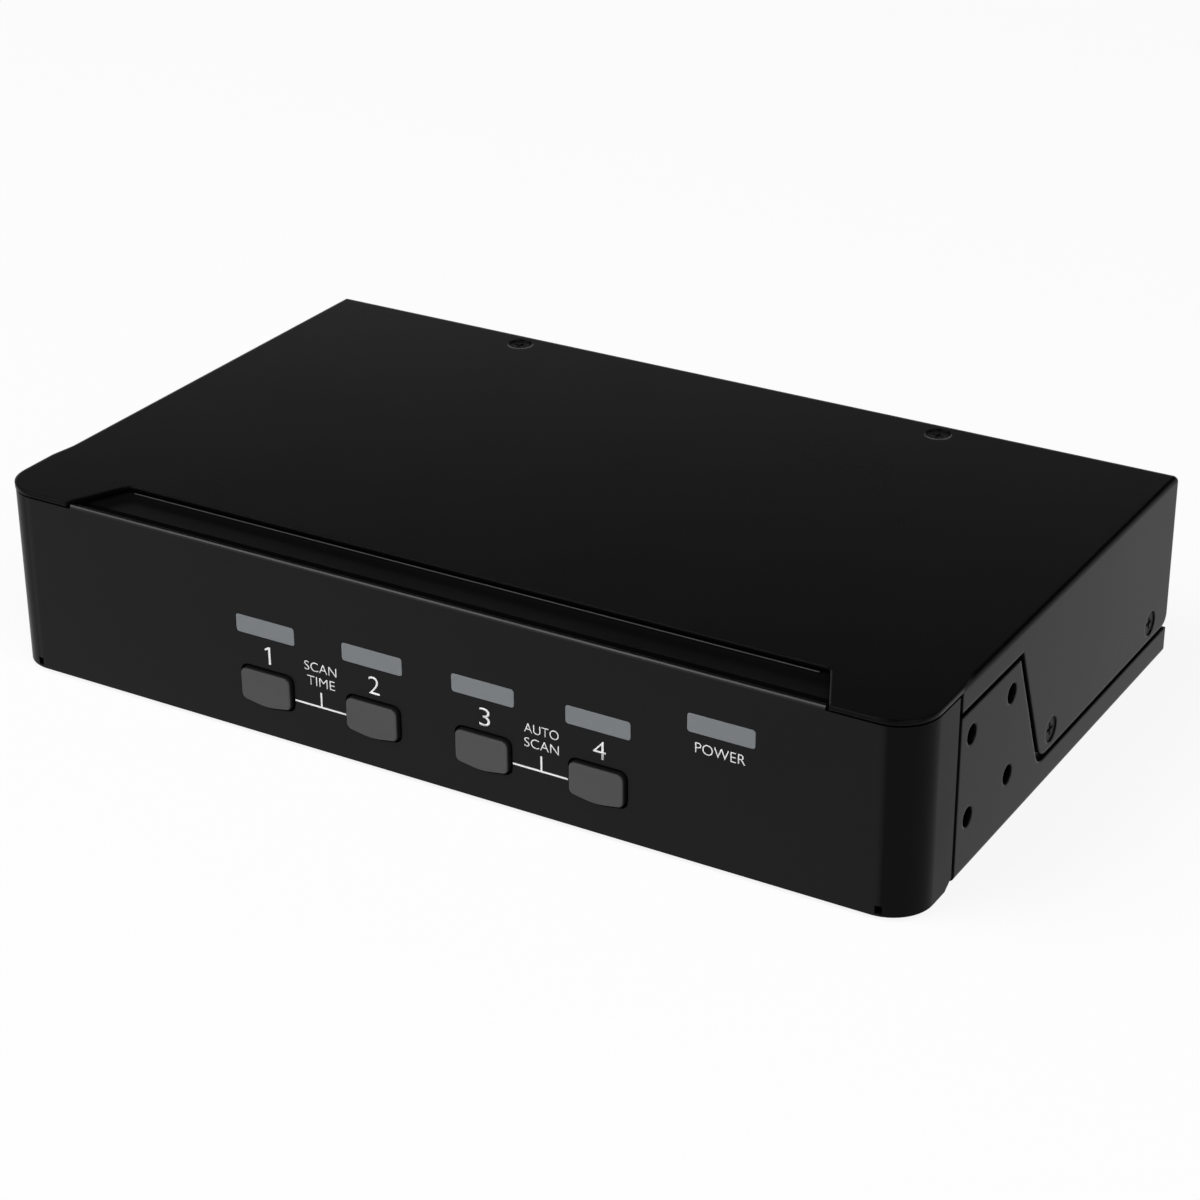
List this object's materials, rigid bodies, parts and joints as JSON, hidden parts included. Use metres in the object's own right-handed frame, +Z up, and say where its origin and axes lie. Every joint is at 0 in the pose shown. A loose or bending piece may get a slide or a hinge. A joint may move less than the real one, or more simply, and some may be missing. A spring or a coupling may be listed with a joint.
{
  "type": "kvm switch",
  "caption": "Low black desktop switch box: folded steel case, moulded front with push buttons and lamp windows, and rows of video, data and sound sockets behind.",
  "frame": {"origin": "under the middle of the case, on the surface that its feet stand on", "axes": "+X to the right seen from the front, +Y to the rear, +Z up"},
  "size_m": [0.221, 0.1328, 0.044],
  "materials": {
    "steel_black": "fine satin powder coat",
    "moulded_black": "fine moulded grain",
    "button_grey": "satin",
    "lens_grey": "smooth translucent",
    "foot_rubber": "matt",
    "screw_black": "black oxide",
    "screw_zinc": "zinc plated",
    "switch_black": "moulded",
    "plunger_grey": "moulded",
    "lamp_epoxy": "clear",
    "board_green": "solder mask",
    "brass": "plated",
    "chip_black": "moulded",
    "sink_black": "anodised",
    "capacitor_sleeve": "shrink sleeve",
    "shell_steel": "nickel plated",
    "tongue_white": "moulded",
    "jack_pink": "moulded",
    "jack_green": "moulded"
  },
  "bodies": {
    "case": {"base_chassis": "steel_black", "rear_panel": "steel_black", "top_cover": "steel_black", "front_bezel": "moulded_black", "rubber_feet": "foot_rubber", "cover_side_screws": "screw_black", "cover_top_screws": "screw_black", "panel_screws": "screw_black", "bezel_screws": "screw_zinc", "switch_bodies": "switch_black", "port_lens_1": "lens_grey", "port_lens_2": "lens_grey", "port_lens_3": "lens_grey", "port_lens_4": "lens_grey", "power_lens": "lens_grey", "indicator_lamps": "lamp_epoxy", "front_board": "board_green", "front_board_screws": "screw_zinc", "link_socket": "switch_black", "link_header": "brass", "main_board": "board_green", "video_board": "board_green", "standoffs": "screw_zinc", "pillars": "brass", "board_screws": "screw_zinc", "stack_header": "switch_black", "stack_socket": "switch_black", "video_chip": "chip_black", "heat_sink": "sink_black", "control_chip": "chip_black", "small_chips": "chip_black", "filter_capacitors": "capacitor_sleeve", "power_inductor": "chip_black", "clock_crystal": "shell_steel", "video_shells": "shell_steel", "video_tongues": "switch_black", "host_shells": "shell_steel", "host_tongues": "tongue_white", "device_shell": "shell_steel", "device_tongues": "tongue_white", "microphone_jacks": "jack_pink", "speaker_jacks": "jack_green", "power_jack": "switch_black", "power_jack_pin": "shell_steel"},
    "push_button_1": {"button_1": "button_grey", "switch_plunger_1": "plunger_grey"},
    "push_button_2": {"button_2": "button_grey", "switch_plunger_2": "plunger_grey"},
    "push_button_3": {"button_3": "button_grey", "switch_plunger_3": "plunger_grey"},
    "push_button_4": {"button_4": "button_grey", "switch_plunger_4": "plunger_grey"}
  },
  "joints": [
    {"name": "press_button_1", "type": "slide", "parent": "case", "child": "push_button_1", "axis": [0, 1, 0], "range_m": [0, 0.0005], "stiffness_N_per_m": 3000},
    {"name": "press_button_2", "type": "slide", "parent": "case", "child": "push_button_2", "axis": [0, 1, 0], "range_m": [0, 0.0005], "stiffness_N_per_m": 3000},
    {"name": "press_button_3", "type": "slide", "parent": "case", "child": "push_button_3", "axis": [0, 1, 0], "range_m": [0, 0.0005], "stiffness_N_per_m": 3000},
    {"name": "press_button_4", "type": "slide", "parent": "case", "child": "push_button_4", "axis": [0, 1, 0], "range_m": [0, 0.0005], "stiffness_N_per_m": 3000}
  ]
}
